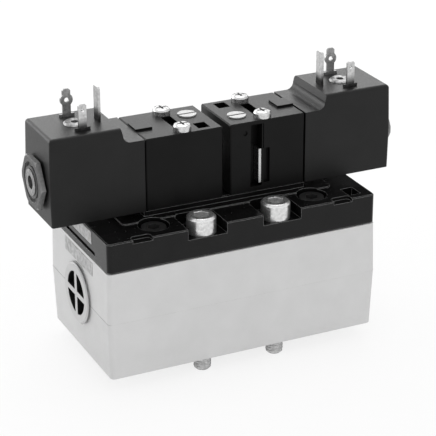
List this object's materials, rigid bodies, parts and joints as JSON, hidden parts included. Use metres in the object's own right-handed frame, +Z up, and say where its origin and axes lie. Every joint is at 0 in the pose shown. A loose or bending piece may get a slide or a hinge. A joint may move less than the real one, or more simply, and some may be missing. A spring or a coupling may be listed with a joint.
{
  "type": "directional control valve",
  "caption": "Solenoid-piloted spool valve with a die-cast body, a black top plate, twin pilots and coils with connector tabs, for a sub-base.",
  "frame": {"origin": "on the plane of the four mounting screw tips, under the middle of the valve body", "axes": "+X along the spool towards the right-hand coil, +Y to the back, +Z up from the mounting face to the connector tabs"},
  "size_m": [0.131, 0.0538, 0.0997],
  "materials": {
    "body": "satin",
    "plug": "satin",
    "plate": "gloss",
    "pilot": "satin",
    "coil": "satin",
    "nut": "satin",
    "zinc": "bright",
    "black_steel": "satin",
    "steel": "brushed",
    "tinned": "bright",
    "button": "satin",
    "spool": "satin",
    "rubber": "matt"
  },
  "bodies": {
    "valve": {"armature_spring_left": "steel", "armature_spring_right": "steel", "armature_tube_left": "steel", "armature_tube_right": "steel", "base_gasket": "rubber", "coil_nut_left": "nut", "coil_nut_right": "nut", "coil_washer_left": "rubber", "coil_washer_right": "rubber", "connector_insert_left": "tinned", "connector_insert_right": "tinned", "connector_tabs_left": "tinned", "connector_tabs_right": "tinned", "end_plug_left": "plug", "end_plug_right": "plug", "end_plug_seal_left": "rubber", "end_plug_seal_right": "rubber", "fixed_core_left": "steel", "fixed_core_right": "steel", "mounting_screws": "zinc", "override_spring_left": "steel", "override_spring_right": "steel", "pilot_gasket_left": "rubber", "pilot_gasket_right": "rubber", "pilot_housing_left": "pilot", "pilot_housing_right": "pilot", "pilot_plate": "plate", "pilot_screws_left": "zinc", "pilot_screws_right": "zinc", "plate_gasket": "rubber", "plate_screws": "black_steel", "solenoid_coil_left": "coil", "solenoid_coil_right": "coil", "tube_lock_plate_left": "steel", "tube_lock_plate_right": "steel", "tube_seal_left": "rubber", "tube_seal_right": "rubber", "valve_body": "body"},
    "spool_set": {"spool": "spool", "spool_seals": "rubber", "piston_left": "spool", "piston_right": "spool", "piston_seal_left": "rubber", "piston_seal_right": "rubber"},
    "armature_set_left": {"armature_left": "steel", "armature_seal_left": "rubber"},
    "override_set_left": {"override_button_left": "button"},
    "armature_set_right": {"armature_right": "steel", "armature_seal_right": "rubber"},
    "override_set_right": {"override_button_right": "button"}
  },
  "joints": [
    {"name": "spool_slide", "type": "slide", "parent": "valve", "child": "spool_set", "axis": [1, 0, 0], "range_m": [0, 0.006]},
    {"name": "armature_slide_left", "type": "slide", "parent": "valve", "child": "armature_set_left", "axis": [-1, 0, 0], "range_m": [0, 0.0008], "stiffness_N_per_m": 2000, "springref_m": -0.002, "deforming": ["armature_spring_left"]},
    {"name": "override_press_left", "type": "slide", "parent": "valve", "child": "override_set_left", "axis": [0, 0, -1], "range_m": [0, 0.001], "stiffness_N_per_m": 1500, "springref_m": -0.001, "deforming": ["override_spring_left"]},
    {"name": "armature_slide_right", "type": "slide", "parent": "valve", "child": "armature_set_right", "axis": [1, 0, 0], "range_m": [0, 0.0008], "stiffness_N_per_m": 2000, "springref_m": -0.002, "deforming": ["armature_spring_right"]},
    {"name": "override_press_right", "type": "slide", "parent": "valve", "child": "override_set_right", "axis": [0, 0, -1], "range_m": [0, 0.001], "stiffness_N_per_m": 1500, "springref_m": -0.001, "deforming": ["override_spring_right"]}
  ]
}
